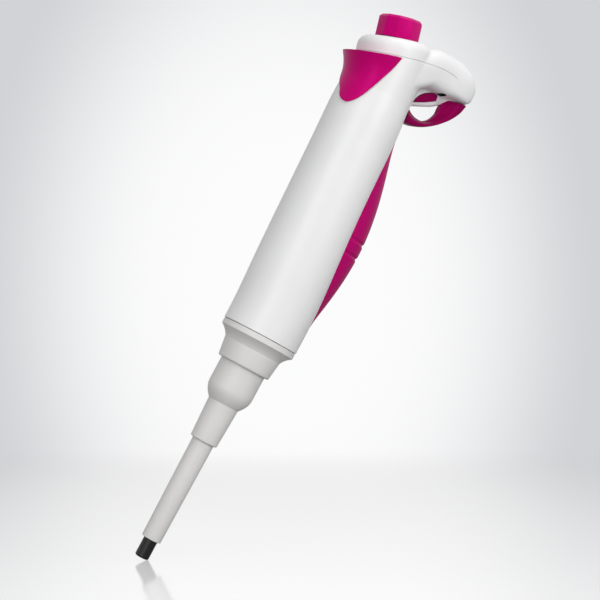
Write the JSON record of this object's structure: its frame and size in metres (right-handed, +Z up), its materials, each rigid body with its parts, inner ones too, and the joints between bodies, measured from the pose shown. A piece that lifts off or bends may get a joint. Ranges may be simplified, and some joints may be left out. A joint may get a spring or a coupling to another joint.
{
  "type": "micropipette",
  "caption": "Hand-held adjustable air-displacement pipette with thumb button, finger hook, tip ejector and slim nozzle.",
  "frame": {"origin": "centre of the nozzle's open end, on the nozzle axis", "axes": "+Z up along the nozzle and piston axis, +X towards the finger hook, -X towards the tip-ejector button, +Y towards the volume window"},
  "size_m": [0.0597, 0.0326, 0.2386],
  "materials": {
    "white_plastic": "satin white moulding",
    "pale_plastic": "satin grey-white moulding",
    "magenta_plastic": "satin to semi-gloss magenta",
    "magenta_grip": "soft satin magenta",
    "black_plastic": "satin black",
    "drum_plastic": "matt white with printed numerals",
    "seal_plastic": "white low-friction plastic",
    "seal_rubber": "soft rubber",
    "clear_lens": "clear polished",
    "steel": "bright turned and drawn",
    "brass": "turned"
  },
  "bodies": {
    "handle_body": {"handle_shell": "white_plastic", "head_cover": "white_plastic", "hook_screw_1": "steel", "hook_screw_2": "steel", "hook_inlay": "magenta_plastic", "finger_ring": "magenta_plastic", "palm_grip": "magenta_grip", "display_lens": "clear_lens", "shaft_coupling": "pale_plastic", "tip_cone": "black_plastic", "barrel": "pale_plastic", "piston_seal": "seal_plastic", "o_ring": "seal_rubber", "seal_retainer": "brass", "return_spring": "steel", "blowout_spring": "steel", "ejector_spring": "steel", "inner_frame": "black_plastic", "volume_nut": "brass", "bearing_plate": "pale_plastic", "drum_axle": "steel"},
    "dial": {"drive_gear": "brass", "volume_screw": "brass"},
    "button": {"push_button": "magenta_plastic", "button_stem": "steel"},
    "plunger": {"thrust_cap": "steel", "plunger_rod": "steel", "spring_collar": "brass", "piston": "steel"},
    "units_drum": {"digit_drum_1": "drum_plastic"},
    "tens_drum": {"digit_drum_2": "drum_plastic"},
    "hundreds_drum": {"digit_drum_3": "drum_plastic"},
    "ejector": {"ejector_button": "magenta_plastic", "ejector_rod": "steel", "ejector_clip": "steel", "ejector_sleeve": "pale_plastic", "ejector_tube": "pale_plastic"}
  },
  "joints": [
    {"name": "volume_dial", "type": "hinge", "parent": "handle_body", "child": "dial", "pos_m": [0, 0, 0.1995], "axis": [-0.2924, 0, 0.9563], "range_deg": [-1440, 1800]},
    {"name": "button_press", "type": "slide", "parent": "dial", "child": "button", "axis": [0.2924, 0, -0.9563], "range_m": [0, 0.008], "stiffness_N_per_m": 400, "springref_m": -0.003},
    {"name": "plunger_travel", "type": "slide", "parent": "handle_body", "child": "plunger", "axis": [0, 0, -1], "range_m": [0, 0.00765], "deforming": ["return_spring", "blowout_spring"]},
    {"name": "units_drum_turn", "type": "hinge", "parent": "handle_body", "child": "units_drum", "pos_m": [0, 0.008, 0.1995], "axis": [-0.2924, 0, 0.9563], "range_deg": [-1800, 1440]},
    {"name": "tens_drum_turn", "type": "hinge", "parent": "handle_body", "child": "tens_drum", "pos_m": [0, 0.008, 0.1995], "axis": [-0.2924, 0, 0.9563], "range_deg": [-180, 144]},
    {"name": "hundreds_drum_turn", "type": "hinge", "parent": "handle_body", "child": "hundreds_drum", "pos_m": [0, 0.008, 0.1995], "axis": [-0.2924, 0, 0.9563], "range_deg": [-18, 14.4]},
    {"name": "ejector_press", "type": "slide", "parent": "handle_body", "child": "ejector", "axis": [0, 0, -1], "range_m": [0, 0.0065], "stiffness_N_per_m": 300, "springref_m": -0.003, "deforming": ["ejector_spring"]}
  ],
  "couplings": [
    {"joint": "plunger_travel", "follows": "button_press", "ratio": 0.9563},
    {"joint": "units_drum_turn", "follows": "volume_dial", "ratio": -1},
    {"joint": "tens_drum_turn", "follows": "volume_dial", "ratio": -0.1},
    {"joint": "hundreds_drum_turn", "follows": "volume_dial", "ratio": -0.01}
  ]
}
